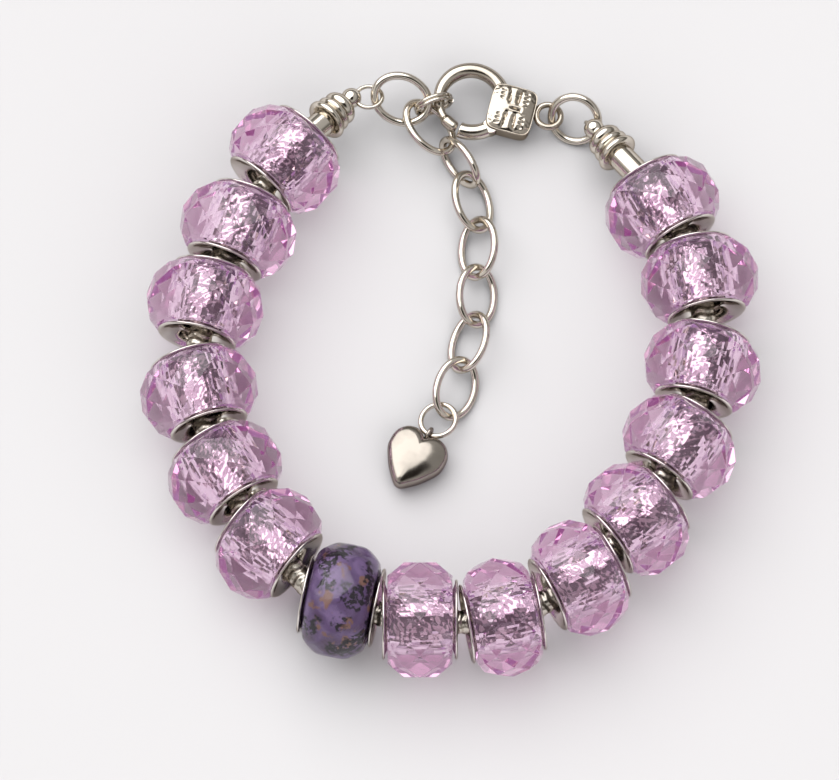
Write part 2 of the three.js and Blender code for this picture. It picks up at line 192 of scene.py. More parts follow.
# %% Camera
ELEVATION = 70                              # degrees above the table
DISTANCE = 4000                             # millimetres from lens to bracelet
AIM = middle("bead_13") * [1, 1, 0] + [-33.55, -2.83, 7.0]   # near the bracelet's middle
FIELD = 99.5                                # millimetres across the picture at that distance
towards_camera = turn(-90, ELEVATION) @ [1, 0, 0]
camera_data = bpy.data.cameras.new("camera")
camera_data.sensor_width = 36
camera_data.lens = camera_data.sensor_width * DISTANCE / FIELD
camera = bpy.data.objects.new("camera", camera_data)
camera.location = (AIM + DISTANCE * towards_camera) * MM
camera.rotation_euler = (np.radians(90 - ELEVATION), 0, 0)
bpy.context.scene.collection.objects.link(camera)
bpy.context.scene.camera = camera
print("lens, mm:", round(camera_data.lens, 1))


# %% Material helpers
def new_material(name):
    """An empty node material: its node tree, its Principled shader and its output."""
    material = bpy.data.materials.new(name)
    material.use_nodes = True
    nodes = material.node_tree.nodes
    return material, material.node_tree, nodes["Principled BSDF"], nodes["Material Output"]


def node(tree, kind, settings=None, **inputs):
    """A node with its settings and its inputs: a value is set, a socket is linked. An input goes by
    its name, with _ for each space, or by its number, as i0 or i1."""
    made = tree.nodes.new(kind)
    for key, value in (settings or {}).items():
        setattr(made, key, value)
    for key, value in inputs.items():
        by_number = key[0] == "i" and key[1:].isdigit()
        socket = made.inputs[int(key[1:]) if by_number else key.replace("_", " ")]
        if isinstance(value, bpy.types.NodeSocket):
            tree.links.new(value, socket)
        else:
            socket.default_value = value
    return made


def ramp(tree, factor, stops, interpolation="LINEAR"):
    """A colour ramp read at factor; stops are (place, colour) pairs."""
    made = node(tree, "ShaderNodeValToRGB", i0=factor)
    made.color_ramp.interpolation = interpolation
    elements = made.color_ramp.elements
    while len(elements) < len(stops):
        elements.new(0.5)
    for element, (place, colour) in zip(elements, stops):
        element.position = place
        element.color = (*colour, 1)
    return made.outputs["Color"]


# %% Floor, lamp and room
FLOOR_HALF = 3.0                            # metres
FLOOR_CORNERS = FLOOR_HALF * np.array([[-1, -1, 0], [1, -1, 0], [1, 1, 0], [-1, 1, 0]])
floor_mesh = bpy.data.meshes.new("floor")
floor_mesh.from_pydata(FLOOR_CORNERS, [], [[0, 1, 2, 3]])
floor = bpy.data.objects.new("floor", floor_mesh)
floor_material, tree, floor_shader, _ = new_material("floor_paper")
floor_shader.inputs["Base Color"].default_value = (0.610, 0.601, 0.611, 1)
floor_shader.inputs["Roughness"].default_value = 0.9
floor_mesh.materials.append(floor_material)
bpy.context.scene.collection.objects.link(floor)

LAMP_DISTANCE = 2.0                         # metres
LAMPS = [
    # name, direction, size in metres, radiance in W/(m2 sr), whether polished and clear things show it
    ("softbox", (-0.30, 0.42, 0.86), 3.2, 2.25, True),
    ("table_fill", (0.40, -0.75, 0.50), 3.0, 1.5, False),
]
for name, direction, size, radiance, shown in LAMPS:
    lamp_data = bpy.data.lights.new(name, "AREA")
    lamp_data.shape = "DISK"
    lamp_data.size = size
    lamp_data.energy = radiance * np.pi * np.pi * (size / 2) ** 2   # radiance times pi times area
    lamp = bpy.data.objects.new(name, lamp_data)
    lamp.location = LAMP_DISTANCE * unit(np.array(direction))
    lamp.rotation_euler = Vector(direction).to_track_quat("Z", "Y").to_euler()
    lamp.visible_camera = False
    lamp.visible_glossy = lamp.visible_transmission = shown
    bpy.context.scene.collection.objects.link(lamp)

THROUGH_PLASTIC = (0.56, 0.50, 0.53)        # the paler room that light finds after clear plastic
THROUGH_SHARE = 0.7                         # and how much of it is mixed in
world = bpy.data.worlds.new("room")
world.use_nodes = True
bpy.context.scene.world = world
sky = world.node_tree
direction = node(sky, "ShaderNodeTexCoord").outputs["Generated"]
parts = node(sky, "ShaderNodeSeparateXYZ", i0=direction)
walls = ramp(sky, parts.outputs["Z"], [
    (0.0, (0.42, 0.40, 0.38)), (0.12, (0.20, 0.19, 0.175)), (0.3, (0.24, 0.23, 0.215)),
    (0.48, (0.66, 0.645, 0.63)), (0.85, (0.62, 0.61, 0.60)), (1.0, (0.45, 0.44, 0.43))])
leftness = node(sky, "ShaderNodeMapRange", Value=parts.outputs["X"], From_Min=-1.0, From_Max=1.0,
                To_Min=1.25, To_Max=0.7)
facing = node(sky, "ShaderNodeVectorMath", {"operation": "DOT_PRODUCT"}, i0=direction,
              i1=tuple(towards_camera))
dark = ramp(sky, facing.outputs["Value"], [(0.87, (1, 1, 1)), (0.96, (0.05, 0.042, 0.035))], "EASE")
room = node(sky, "ShaderNodeMix", {"data_type": "RGBA", "blend_type": "MULTIPLY"}, Factor=1.0)
sky.links.new(walls, room.inputs["A"])
sky.links.new(dark, room.inputs["B"])
through = node(sky, "ShaderNodeLightPath").outputs["Is Transmission Ray"]
filled = node(sky, "ShaderNodeMath", {"operation": "MULTIPLY"}, i0=through, i1=THROUGH_SHARE)
seen = node(sky, "ShaderNodeMix", {"data_type": "RGBA"}, Factor=filled.outputs[0])
sky.links.new(room.outputs["Result"], seen.inputs["A"])
seen.inputs["B"].default_value = (*THROUGH_PLASTIC, 1)
background = sky.nodes["Background"]
sky.links.new(seen.outputs["Result"], background.inputs["Color"])
sky.links.new(leftness.outputs["Result"], background.inputs["Strength"])

BOUNCES = 18
scene = bpy.context.scene
scene.view_settings.view_transform = "Standard"
scene.cycles.max_bounces = scene.cycles.transmission_bounces = BOUNCES
scene.cycles.transparent_max_bounces = 16
scene.cycles.caustics_refractive = False
scene.cycles.caustics_reflective = False
print("lamps:", len(LAMPS), "bounces:", BOUNCES)

# %% [markdown]
# ## Finishes
# The metal is a warm silver-tone plating. On the real thing it is never quite clean: handling leaves
# hair-fine scratches and faint cloudy marks that soften the shine here and there. Both are in one node
# group, used by every metal with its own amounts, so a rim, a link and the heart can differ in polish
# and still look plated in the same bath.

# %% Node group for handled metal
def handled_surface():
    """Group: Colour, Dull colour, Roughness and Haze in; mottled colour, roughness and scratch height
    out. Clouds mix the two colours and add haze to the roughness; hairs are a noise drawn out long."""
    group = bpy.data.node_groups.new("handled_surface", "ShaderNodeTree")
    number, colour = "NodeSocketFloat", "NodeSocketColor"
    takes = ("Colour", colour), ("Dull colour", colour), ("Roughness", number), ("Haze", number)
    gives = ("Colour", colour), ("Roughness", number), ("Height", number)
    for way, sockets in (("INPUT", takes), ("OUTPUT", gives)):
        for name, kind in sockets:
            group.interface.new_socket(name, in_out=way, socket_type=kind)
    given, out = group.nodes.new("NodeGroupInput"), group.nodes.new("NodeGroupOutput")
    place = node(group, "ShaderNodeTexCoord").outputs["Object"]
    clouds = node(group, "ShaderNodeTexNoise", Vector=place, Scale=420.0, Detail=3.0)
    mask = node(group, "ShaderNodeMapRange", Value=clouds.outputs["Fac"],
                From_Min=0.42, From_Max=0.68).outputs["Result"]
    drawn = node(group, "ShaderNodeMapping", Vector=place, Scale=(1.0, 0.12, 0.5),
                 Rotation=(0.3, 0.2, 0.7))
    hairs = node(group, "ShaderNodeTexNoise", Vector=drawn.outputs["Vector"], Scale=9000.0, Detail=2.0)
    mottled = node(group, "ShaderNodeMix", {"data_type": "RGBA"}, Factor=mask)
    group.links.new(given.outputs["Colour"], mottled.inputs["A"])
    group.links.new(given.outputs["Dull colour"], mottled.inputs["B"])
    haze = node(group, "ShaderNodeMath", {"operation": "MULTIPLY"}, i0=mask, i1=given.outputs["Haze"])
    rough = node(group, "ShaderNodeMath", {"operation": "ADD"}, i0=given.outputs["Roughness"],
                 i1=haze.outputs[0])
    group.links.new(mottled.outputs["Result"], out.inputs["Colour"])
    group.links.new(rough.outputs[0], out.inputs["Roughness"])
    group.links.new(hairs.outputs["Fac"], out.inputs["Height"])
    return group


HANDLED = handled_surface()
SCRATCH_DEPTH = 0.00002                     # metres


def plated(name, colour, dull, edge, roughness, haze, scratch):
    """Plated metal: the handled-surface group feeds colour, roughness and a very shallow bump. Seen
    at a glancing angle it takes the edge tint."""
    material, tree, shader, _ = new_material(name)
    worn = node(tree, "ShaderNodeGroup", {"node_tree": HANDLED}, Colour=(*colour, 1),
                Dull_colour=(*dull, 1), Roughness=roughness, Haze=haze)
    bump = node(tree, "ShaderNodeBump", Height=worn.outputs["Height"], Strength=scratch,
                Distance=SCRATCH_DEPTH)
    tree.links.new(worn.outputs["Colour"], shader.inputs["Base Color"])
    tree.links.new(worn.outputs["Roughness"], shader.inputs["Roughness"])
    tree.links.new(bump.outputs["Normal"], shader.inputs["Normal"])
    shader.inputs["Metallic"].default_value = 1.0
    shader.inputs["Specular Tint"].default_value = (*edge, 1)
    return material


FINISHES = {
    # name: colour, colour where dull, tint at a glancing angle, roughness, haze, scratches
    "casting_plate": ((0.53, 0.475, 0.405), (0.44, 0.39, 0.33), (0.34, 0.30, 0.26), 0.1, 0.10, 0.25),
    "silver_tone": ((0.72, 0.665, 0.585), (0.60, 0.55, 0.475), (0.34, 0.30, 0.26), 0.08, 0.10, 0.25),
    "core_plate": ((0.80, 0.765, 0.72), (0.70, 0.66, 0.61), (0.45, 0.41, 0.38), 0.07, 0.08, 0.2),
    # the sleeve inside each bead: both colours far darker than the rim's, as painted shade inside the
    # bead
    "sleeve_plate_painted_shade": ((0.33, 0.30, 0.30), (0.23, 0.205, 0.21), (0.45, 0.41, 0.38), 0.06, 0.08, 0.2),
    "snake_plate": ((0.66, 0.61, 0.54), (0.47, 0.43, 0.38), (0.5, 0.45, 0.4), 0.2, 0.12, 0.3),
    "heart_polish": ((0.37, 0.335, 0.295), (0.32, 0.29, 0.255), (0.40, 0.34, 0.38), 0.15, 0.03, 0.1),
}
CASTING_PLATE, SILVER, CORE_PLATE, SHADED_SLEEVE_PLATE, SNAKE_PLATE, HEART_POLISH = (
    plated(name, *amounts) for name, amounts in FINISHES.items())
print("plated finishes:", len(FINISHES))

# %% [markdown]
# The beads are cast acrylic, dyed lilac and cut. Light enters through one facet, bounces between the
# others and comes out in slivers, so the colour is in the depth: the material is clear, and a volume
# takes out green light along the way. Two short cuts are taken. Light that is still inside after a few
# bounces has seen the whole bead, so there the surface gives off the mean colour found in there as a
# painted glow; followed to the end it would leave dark specks. And rays that only look for light on the
# table go through in a straight line, which gives a soft lilac shadow in place of grainy bright
# patches. On the way they gain a little, for the light that the facets of a bead gather on the table.

# %% Acrylic
LAST_BOUNCE = 4
# painted glow: rays still inside a bead after LAST_BOUNCE give off this mean colour as light
PAINTED_GLOW = (0.47, 0.37, 0.58)                   # mean colour inside a bead
ACRYLIC_IOR = 1.49


def acrylic(name, tint, cloud, shadow, absorb, density, ior=ACRYLIC_IOR):
    """Clear cast plastic: tinted where faint clouds lie in it, and darker with depth, by
    exp(-density (1 - absorb) path) in each colour."""
    material, tree, shader, output = new_material(name)
    place = node(tree, "ShaderNodeTexCoord").outputs["Object"]
    clouds = node(tree, "ShaderNodeTexNoise", Vector=place, Scale=160.0, Detail=2.0).outputs["Fac"]
    colour = node(tree, "ShaderNodeMix", {"data_type": "RGBA"}, Factor=clouds)
    colour.inputs["A"].default_value, colour.inputs["B"].default_value = (*tint, 1), (*cloud, 1)
    tree.links.new(colour.outputs["Result"], shader.inputs["Base Color"])
    rubbed = node(tree, "ShaderNodeTexNoise", Vector=place, Scale=900.0, Detail=3.0).outputs["Fac"]
    rough = node(tree, "ShaderNodeMapRange", Value=rubbed, From_Min=0.45, From_Max=0.8,
                 To_Min=0.0, To_Max=0.02)
    tree.links.new(rough.outputs["Result"], shader.inputs["Roughness"])
    shader.inputs["IOR"].default_value = ior
    shader.inputs["Transmission Weight"].default_value = 1.0
    rays = node(tree, "ShaderNodeLightPath")
    spent = node(tree, "ShaderNodeMath", {"operation": "GREATER_THAN"}, i0=rays.outputs["Ray Depth"],
                 i1=LAST_BOUNCE)
    # painted glow: an emission that stands in for the light gathered inside the bead
    painted_glow = node(tree, "ShaderNodeEmission", Color=(*PAINTED_GLOW, 1))
    clear = node(tree, "ShaderNodeBsdfTransparent", Color=(*shadow, 1))
    surface = shader
    for factor, other in ((spent.outputs[0], painted_glow), (rays.outputs["Is Diffuse Ray"], clear),
                          (rays.outputs["Is Shadow Ray"], clear)):
        surface = node(tree, "ShaderNodeMixShader", i0=factor, i1=surface.outputs[0],
                       i2=other.outputs[0])
    tree.links.new(surface.outputs[0], output.inputs["Surface"])
    depth = node(tree, "ShaderNodeVolumeAbsorption", Color=(*absorb, 1), Density=density).outputs[0]
    tree.links.new(depth, output.inputs["Volume"])
    return material


LILAC = acrylic("lilac_acrylic", tint=(0.97, 0.92, 0.98), cloud=(0.94, 0.86, 0.97),
                shadow=(1.05, 1.06, 1.06), absorb=(0.78, 0.25, 0.57), density=50)
CLEAR_SHELL = acrylic("clear_shell", tint=(0.93, 0.90, 0.96), cloud=(0.88, 0.84, 0.93),
                      shadow=(0.9, 0.87, 0.9), absorb=(0.55, 0.42, 0.5), density=60, ior=1.36)
print("acrylics:", LILAC.name, CLEAR_SHELL.name)


# %% [markdown]
# ## The cut beads
# A bead is a ball cut in rows of diamond-shaped facets: ten round the girdle and a row to each side
# that takes up the gaps, then a flat end with a hole. The rings of corners are turned by half a facet
# against each other, and each ring's radius is the one that keeps every four-cornered facet flat. It
# could be a ball with its faces flattened, but worked out this way each facet is one true plane, which
# matters in clear plastic: a facet that bulges shows no sliver. The hole is a smooth tube with a
# countersink for the core's flare, and a hair of bevel catches light along the edges.

# %% Bead shape
GIRDLE_RADIUS = 7.15
FACETS_ROUND = 10
RING_HEIGHTS = np.array([0, 1.9, 3.25, 3.85])   # the girdle, then each ring out to the flat end
BORE_RADIUS = 2.9
MOUTH_RADIUS, MOUTH_DEPTH = 4.5, 0.85
BORE_PER_FACET = 5                          # columns of the bore for each facet round the girdle
BORE_ROWS = 7                               # rows of chatter marks from end to end of the straight bore
CHATTER = 0.17                              # how far a drill mark goes in or out of the true bore


def ring_radii(girdle):
    """Radius of each ring: the second lies on the girdle's chords, and each later one continues the
    straight line from the ring two before it through the middle of the chord of the ring before."""
    half = np.cos(np.pi / FACETS_ROUND)
    radii = [girdle, girdle * half]
    for k in (2, 3):
        slope = (radii[k - 2] - radii[k - 1] * half) / (RING_HEIGHTS[k - 1] - RING_HEIGHTS[k - 2])
        radii.append(radii[k - 2] - slope * (RING_HEIGHTS[k] - RING_HEIGHTS[k - 2]))
    return np.array(radii)


def bead_shape(girdle, heights=RING_HEIGHTS, bore=BORE_RADIUS, mouth=MOUTH_RADIUS, seed=0):
    """Corners on seven rings, each at (radius cos a, radius sin a, height), with four-cornered facets
    between every other ring; then the two flat ends and the bore, all about Z. The bore's radius is
    its true one plus a random drill mark at each point."""
    radii = ring_radii(girdle)
    ring = np.arange(-3, 4)
    k = np.arange(FACETS_ROUND)
    step = 2 * np.pi / FACETS_ROUND
    angle = (k + 0.5 + (np.abs(ring)[:, None] % 2) / 2) * step - np.pi / 2
    radius, height = radii[np.abs(ring)][:, None], (np.sign(ring) * heights[np.abs(ring)])[:, None]
    outside = np.stack([radius * np.cos(angle), radius * np.sin(angle), height + 0 * angle], axis=-1)

    def at(which, corner):
        return (which + 3) * FACETS_ROUND + corner % FACETS_ROUND

    facets = [np.stack([at(m - 1, k + m % 2), at(m, k + 1), at(m + 1, k + m % 2), at(m, k)], axis=-1)
              for m in range(-2, 3)]
    facets += [np.stack([at(2, k + 1), at(3, k + 1), at(3, k)], axis=-1),
               np.stack([at(-3, k), at(-3, k + 1), at(-2, k + 1)], axis=-1)]
    columns = BORE_PER_FACET * FACETS_ROUND
    start, around = len(outside.reshape(-1, 3)), angle[0, 0] + 2 * np.pi * np.arange(columns) / columns
    neck = heights[3] - MOUTH_DEPTH
    level = np.concatenate([[heights[3]], np.linspace(neck, -neck, BORE_ROWS), [-heights[3]]])[:, None]
    mark = CHATTER * np.random.default_rng(seed).uniform(-1, 1, (len(level), columns))
    mark[[0, 1, -2, -1]] = 0
    true = np.where(np.abs(level) > neck + 0.01, mouth, bore)
    reach = true + mark
    hole = np.stack([reach * np.cos(around), reach * np.sin(around), level + 0 * around], axis=-1)
    lip = BORE_PER_FACET * k[:, None] + np.arange(BORE_PER_FACET, -1, -1)
    top = np.concatenate([at(3, k)[:, None], at(3, k + 1)[:, None], start + lip % columns], axis=1)
    low_lip = start + (len(level) - 1) * columns + lip % columns
    bottom = np.concatenate([at(-3, k)[:, None], at(-3, k + 1)[:, None], low_lip], axis=1)[:, ::-1]
    points = np.concatenate([outside.reshape(-1, 3), hole.reshape(-1, 3)])
    return points, facets + [top, bottom, grid_faces(len(level), columns) + start]


def along_x(points):
    """A shape about Z laid over, so that Z becomes X, X becomes Y and Y becomes Z."""
    return points[:, [2, 0, 1]]


def edge_softened(piece, width, segments=1):
    """A narrow bevel on every edge whose two ends are facet corners, which come first in the mesh."""
    mesh = piece.data
    ends = np.empty(2 * len(mesh.edges), dtype=int)
    mesh.edges.foreach_get("vertices", ends)
    facet_corners = (2 * len(RING_HEIGHTS) - 1) * FACETS_ROUND
    on_facets = (ends.reshape(-1, 2) < facet_corners).all(axis=1)
    weight = mesh.attributes.new("bevel_weight_edge", "FLOAT", "EDGE")
    weight.data.foreach_set("value", on_facets.astype(float))
    bevel = piece.modifiers.new("soft edges", "BEVEL")
    bevel.width = width * MM
    bevel.segments = segments
    bevel.limit_method = "WEIGHT"


# %% Where the beads lie
BEADS = [
    # number, heading of its bore, spin about it, in degrees
    (1, -131, 6), (2, -112, -9), (3, -103, 4), (4, -74, 12), (5, -59, -5),
    (6, -40, 11), (7, -12, 0), (8, 0, 3), (9, 11, -12), (10, 29, 8),
    (11, 39, -4), (12, 57, 15), (13, 76, 0), (14, 101, -8), (15, 119, 5),
]
PURPLE_BEAD = 7
EDGE = 0.05                                 # width of the bevel along a facet's edge
for number, heading, spin in BEADS:
    if number == PURPLE_BEAD:
        continue
    name = f"bead_{number:02d}"
    points, faces = bead_shape(GIRDLE_RADIUS, seed=number)
    points = placed(along_x(points), turn(heading, 0, spin), middle(name))
    piece = add_piece(f"cut_{name}", points, faces, LILAC, name, crease=5)
    edge_softened(piece, EDGE)
print("cut beads:", len(BEADS) - 1)

# %% [markdown]
# ## The purple bead
# The odd bead out is cut from the same blank, but it is marbled: an opaque slate-purple heart with
# black flecks and copper-brown patches, cased in a thin layer of clear plastic. The depth of that
# casing is what makes it look wet, so it is built as two pieces, a marbled body and a clear skin over
# it, in place of one painted surface.

# %% Marble
def marble():
    """Opaque marbling: slate and mauve in slow clouds, copper patches, and clusters of black flecks,
    which are a fine noise cut off sharply inside the dark parts of a slower one."""
    material, tree, shader, _ = new_material("purple_marble")
    place = node(tree, "ShaderNodeTexCoord").outputs["Object"]

    def cut(scale, low, high, detail, seed):
        """One where a noise of this scale is over high, nought where it is under low."""
        moved = node(tree, "ShaderNodeMapping", Vector=place, Location=(seed, 0.0, 0.0))
        noise = node(tree, "ShaderNodeTexNoise", Vector=moved.outputs["Vector"], Scale=scale,
                     Detail=detail, Roughness=0.6)
        sharp = node(tree, "ShaderNodeMapRange", Value=noise.outputs["Fac"], From_Min=low,
                     From_Max=high)
        return sharp.outputs["Result"]

    slow = node(tree, "ShaderNodeTexNoise", Vector=place, Scale=300.0, Detail=4.0, Distortion=0.8)
    base = ramp(tree, slow.outputs["Fac"], [
        (0.34, (0.066, 0.035, 0.08)), (0.5, (0.10, 0.063, 0.148)), (0.66, (0.176, 0.116, 0.24))])
    copper = cut(330.0, 0.575, 0.61, 5.0, 3.0)
    flecks = node(tree, "ShaderNodeMath", {"operation": "MULTIPLY"}, i0=cut(290.0, 0.50, 0.54, 3.0, 7.0),
                  i1=cut(1600.0, 0.46, 0.49, 4.0, 5.0)).outputs[0]
    for mask, colour in ((copper, (0.17, 0.088, 0.062)), (flecks, (0.003, 0.002, 0.004))):
        laid = node(tree, "ShaderNodeMix", {"data_type": "RGBA"}, Factor=mask)
        tree.links.new(base, laid.inputs["A"])
        laid.inputs["B"].default_value = (*colour, 1)
        base = laid.outputs["Result"]
    tree.links.new(base, shader.inputs["Base Color"])
    shader.inputs["Roughness"].default_value = 0.3
    return material


MARBLE = marble()
SKIN = 0.75                                 # thickness of the clear casing
_, heading, spin = BEADS[PURPLE_BEAD - 1]
BODY_SHARE = 0.93                           # length of the marbled body, as a share of the bead's
BORE_PLAY, MOUTH_PLAY = 0.08, 0.2           # how far the body stays behind the skin in bore and mouth
LAYERS = [
    # name, material, width of its soft edges, and what bead_shape makes it from
    ("purple_skin", CLEAR_SHELL, 0.6, (GIRDLE_RADIUS,)),
    ("purple_body", MARBLE, 0.5, (GIRDLE_RADIUS - SKIN, RING_HEIGHTS * BODY_SHARE,
                                  BORE_RADIUS + BORE_PLAY, MOUTH_RADIUS - MOUTH_PLAY)),
]
for name, material, soft, shape in LAYERS:
    points, faces = bead_shape(*shape)
    purple = f"bead_{PURPLE_BEAD:02d}"
    points = placed(along_x(points), turn(heading, 0, spin), middle(purple))
    piece = add_piece(name, points, faces, material, purple, crease=7)
    edge_softened(piece, soft, segments=3)
print("purple bead's layers:", len(LAYERS))

# %% [markdown]
# ## The cores
# Each bead is lined with a plated tube whose ends are pressed outwards like an eyelet: a shallow
# funnel, then a rounded rim that laps over the flat end of the bead. It is one turned outline, so a
# lathe surface gives it exactly; the outline is drawn for one half and mirrored for the other. The
# part inside the bead is a sleeve, a little wrinkled by the pressing, which breaks up the light that
# the facets throw on it. The sleeve is coloured far darker than the rim: painted shade for the inside
# of the bead.

# %% Core shape
RIM_RADIUS, RIM_TOP = 4.75, 4.47
CORE_HALF = rounded([
    # radius, height above the bead's middle, from the outside of the tube round to the inside
    (2.6, 0.0), (2.6, 0.8), (2.6, 1.6), (2.6, 2.3), (2.62, 3.0), (3.3, 3.7), (4.2, 4.1), (4.6, 4.14),
    (RIM_RADIUS, 4.3), (4.6, RIM_TOP), (4.3, 4.43), (3.9, 4.22), (3.2, 3.85), (2.6, 3.35), (2.32, 2.75),
    (2.3, 1.6), (2.3, 0.0),
], 4)
SLEEVE_HALF = rounded([
    (2.56, 0.0), (2.56, 2.7), (2.6, 2.84), (2.66, 2.7), (2.66, 1.8), (2.66, 0.9), (2.66, 0.0)], 3)
SLEEVE_RADIUS, WRINKLED_FROM = 2.6, 2.62    # middle of its wall; only points further out are wrinkled
RIPPLE = 0.12                               # how far pressing has wrinkled the sleeve
RIM_COLUMNS, SLEEVE_COLUMNS = 72, 48


def mirrored(half):
    """A closed outline from the half above the middle: the half, then its mirror taken backwards."""
    return np.concatenate([half, (half * [1, -1])[::-1][1:-1]])


for number, heading, spin in BEADS:
    name = f"bead_core_{number:02d}"
    stand = turn(heading, 0, spin), middle(name)
    points, faces = lathe(mirrored(CORE_HALF), RIM_COLUMNS)
    add_piece(f"rimmed_{name}", placed(along_x(points), *stand), faces, CORE_PLATE, name)
    points, faces = lathe(mirrored(SLEEVE_HALF), SLEEVE_COLUMNS)
    drawn = np.random.default_rng(100 + number).uniform(-1, 0.3, (len(points), 1))
    wrinkle = 1 + RIPPLE / SLEEVE_RADIUS * drawn
    outside = np.linalg.norm(points[:, :2], axis=1, keepdims=True) > WRINKLED_FROM
    points = points * np.where(outside, wrinkle, 1) ** [1, 1, 0]
    # the sleeve's finish is much darker than the rim's: painted shade inside the bead
    add_piece(f"sleeve_{name}", placed(along_x(points), *stand), faces, SHADED_SLEEVE_PLATE, name)
print("cores:", len(BEADS))

# %% [markdown]
# ## The snake chain
# A snake chain is a tight stack of wavy plates that bends like a cord. It runs through every core and
# shows only in the small gaps between rims. It is a wire along the same route as the CAD tube whose
# radius dips between plates; each dip waves round the chain, as the plates do.

# %% Snake chain
CHAIN_RADIUS = 1.45
CHAIN_DROP, CHAIN_SIDE, CHAIN_REACH = 0.3, 0.3, 2.8
PLATE_PITCH, PLATE_DEPTH, PLATE_WAVE = 0.9, 0.16, 0.28
PLATE_STEPS, CHAIN_COLUMNS = 6, 16
CAP_END, GAP = 10.4, 0.3
CAPS = {
    # side: bead, way out of it, crossing, ball from it, heading, drop, ring's heading, pitch and tilt
    "left": (1, -1, 2.6, 9.52, 47.2, 15.6, 3.7, -0.9, -17.7),
    "right": (15, 1, 2.8, 11.1, 128.5, 13.5, 237.7, -105.7, 9.2),
}


def ball_centre(side):
    """Centre of a cap's ball: out of the bead along its bore, then along the cap."""
    number, way, crossing, length, heading, drop = CAPS[side][:6]
    bead_heading = BEADS[number - 1][1]
    start = middle(f"bead_{number:02d}") + way * crossing * (turn(bead_heading) @ [1, 0, 0])
    return start + length * (turn(heading, -drop) @ [1, 0, 0])


def chain_end(side):
    """Two points of the chain just past the end of a cap's neck, on the cap's own line."""
    back = -(turn(CAPS[side][4], -CAPS[side][5]) @ [1, 0, 0])
    return np.array([ball_centre(side) + (CAP_END + past) * back for past in (GAP, 4 * GAP)])


def leaning(point, other, along):
    """The point moved across along, towards the other, by at most the chain's play in the bore."""
    aside = other - point
    aside = aside - (aside @ along) * along
    return point + aside * min(1, CHAIN_SIDE / np.linalg.norm(aside))


low = np.array([middle(f"bead_{number:02d}") - [0, 0, CHAIN_DROP] for number, _, _ in BEADS])
along = np.array([turn(heading) @ [1, 0, 0] for _, heading, _ in BEADS])
leave, enter = low + CHAIN_REACH * along, low - CHAIN_REACH * along
stops = np.concatenate([
    [leaning(leave[i], enter[i + 1], along[i]), leaning(enter[i + 1], leave[i], along[i + 1])]
    for i in range(len(BEADS) - 1)])
route = rounded(np.concatenate([chain_end("left"), stops, chain_end("right")[::-1]]), 24)
length_so_far = np.concatenate([[0], np.cumsum(np.linalg.norm(np.diff(route, axis=0), axis=1))])
steps = int(length_so_far[-1] / PLATE_PITCH * PLATE_STEPS)
place = np.linspace(0, length_so_far[-1], steps)
route = np.stack([np.interp(place, length_so_far, route[:, axis]) for axis in range(3)], axis=-1)
around = 2 * np.pi * np.arange(CHAIN_COLUMNS) / CHAIN_COLUMNS
phase = place[:, None] / PLATE_PITCH + PLATE_WAVE * np.sin(4 * around)
dip = np.abs(np.cos(np.pi * phase)) ** 6
points, faces = wire(route, CHAIN_RADIUS - PLATE_DEPTH * dip, CHAIN_COLUMNS, [0, 0, 1])
add_piece("snake_chain", points, faces, SNAKE_PLATE, "core_chain", crease=60)
print("snake chain, mm:", round(length_so_far[-1], 1), "faces:", sum(len(f) for f in faces))

# %% [markdown]
# ## End caps
# Each end of the chain is held in a turned cap: a plain neck that slides into the last bead's core, a
# stack of ridges and a ball at the tip, drilled for a small ring. The cap is one turned outline again.

# %% End caps
BALL_RADIUS, BALL_ARC, NECK_RADIUS = 1.2, 128, 1.6   # the arc is in degrees, from the ball's pole
CAP_COLUMNS = 64
ball_angle = np.radians(np.linspace(0, BALL_ARC, 18))
BALL_OUTLINE = BALL_RADIUS * np.stack([np.sin(ball_angle), -np.cos(ball_angle)], axis=-1)
RIDGES = rounded([
    # radius, distance from the ball's centre towards the bead
    (0.94, 0.88), (1.4, 1.12), (1.85, 1.5), (2.12, 1.95), (2.1, 2.35), (1.9, 2.65), (1.75, 2.76),
    (2.05, 2.86), (2.28, 3.2), (2.2, 3.55), (1.95, 3.78), (2.25, 3.95), (2.55, 4.35), (2.5, 4.75),
    (2.1, 5.0), (NECK_RADIUS, 5.08),
], 4)
NECK = [(NECK_RADIUS, 5.2), (NECK_RADIUS, CAP_END - 0.15), (NECK_RADIUS - 0.15, CAP_END), (0.0, CAP_END)]
RING_SIZE, RING_WIRE, RING_REACH = 3.7, 0.5, 2.1
SEAM_DEPTH, LOOP_COLUMNS = 0.06, 20


def oval_path(long, wide, wire_size, steps=72):
    """Middle line of a wire bent to an oval: half of outer size less wire, times cos and sin."""
    angle = 2 * np.pi * np.arange(steps) / steps
    half_long, half_wide = (long - wire_size) / 2, (wide - wire_size) / 2
    return np.stack([half_long * np.cos(angle), half_wide * np.sin(angle), 0 * angle], axis=-1)


def ring_seam(steps, wire_radius, at):
    """Radius of a bent wire at each step: radius (1 - depth exp(-2 away^2)), so a hair smaller where
    its two ends are butted together, away steps from there."""
    away = np.abs((np.arange(steps) / steps - at + 0.5) % 1 - 0.5) * steps
    return (wire_radius * (1 - SEAM_DEPTH * np.exp(-away**2 * 2)))[:, None]


def add_loop(name, long, wide, wire_size, heading, pitch, tilt, at, seam=0.12):
    """A closed oval of round wire, turned and placed, with its butt seam at a share of the way round."""
    path = oval_path(long, wide, wire_size)
    radius = ring_seam(len(path), wire_size / 2, seam)
    points, faces = wire(path, radius, LOOP_COLUMNS, [0, 0, 1], closed=True)
    points = placed(points, turn(heading, pitch, tilt), at)
    add_piece(f"{name}_wire", points, faces, SILVER, name)


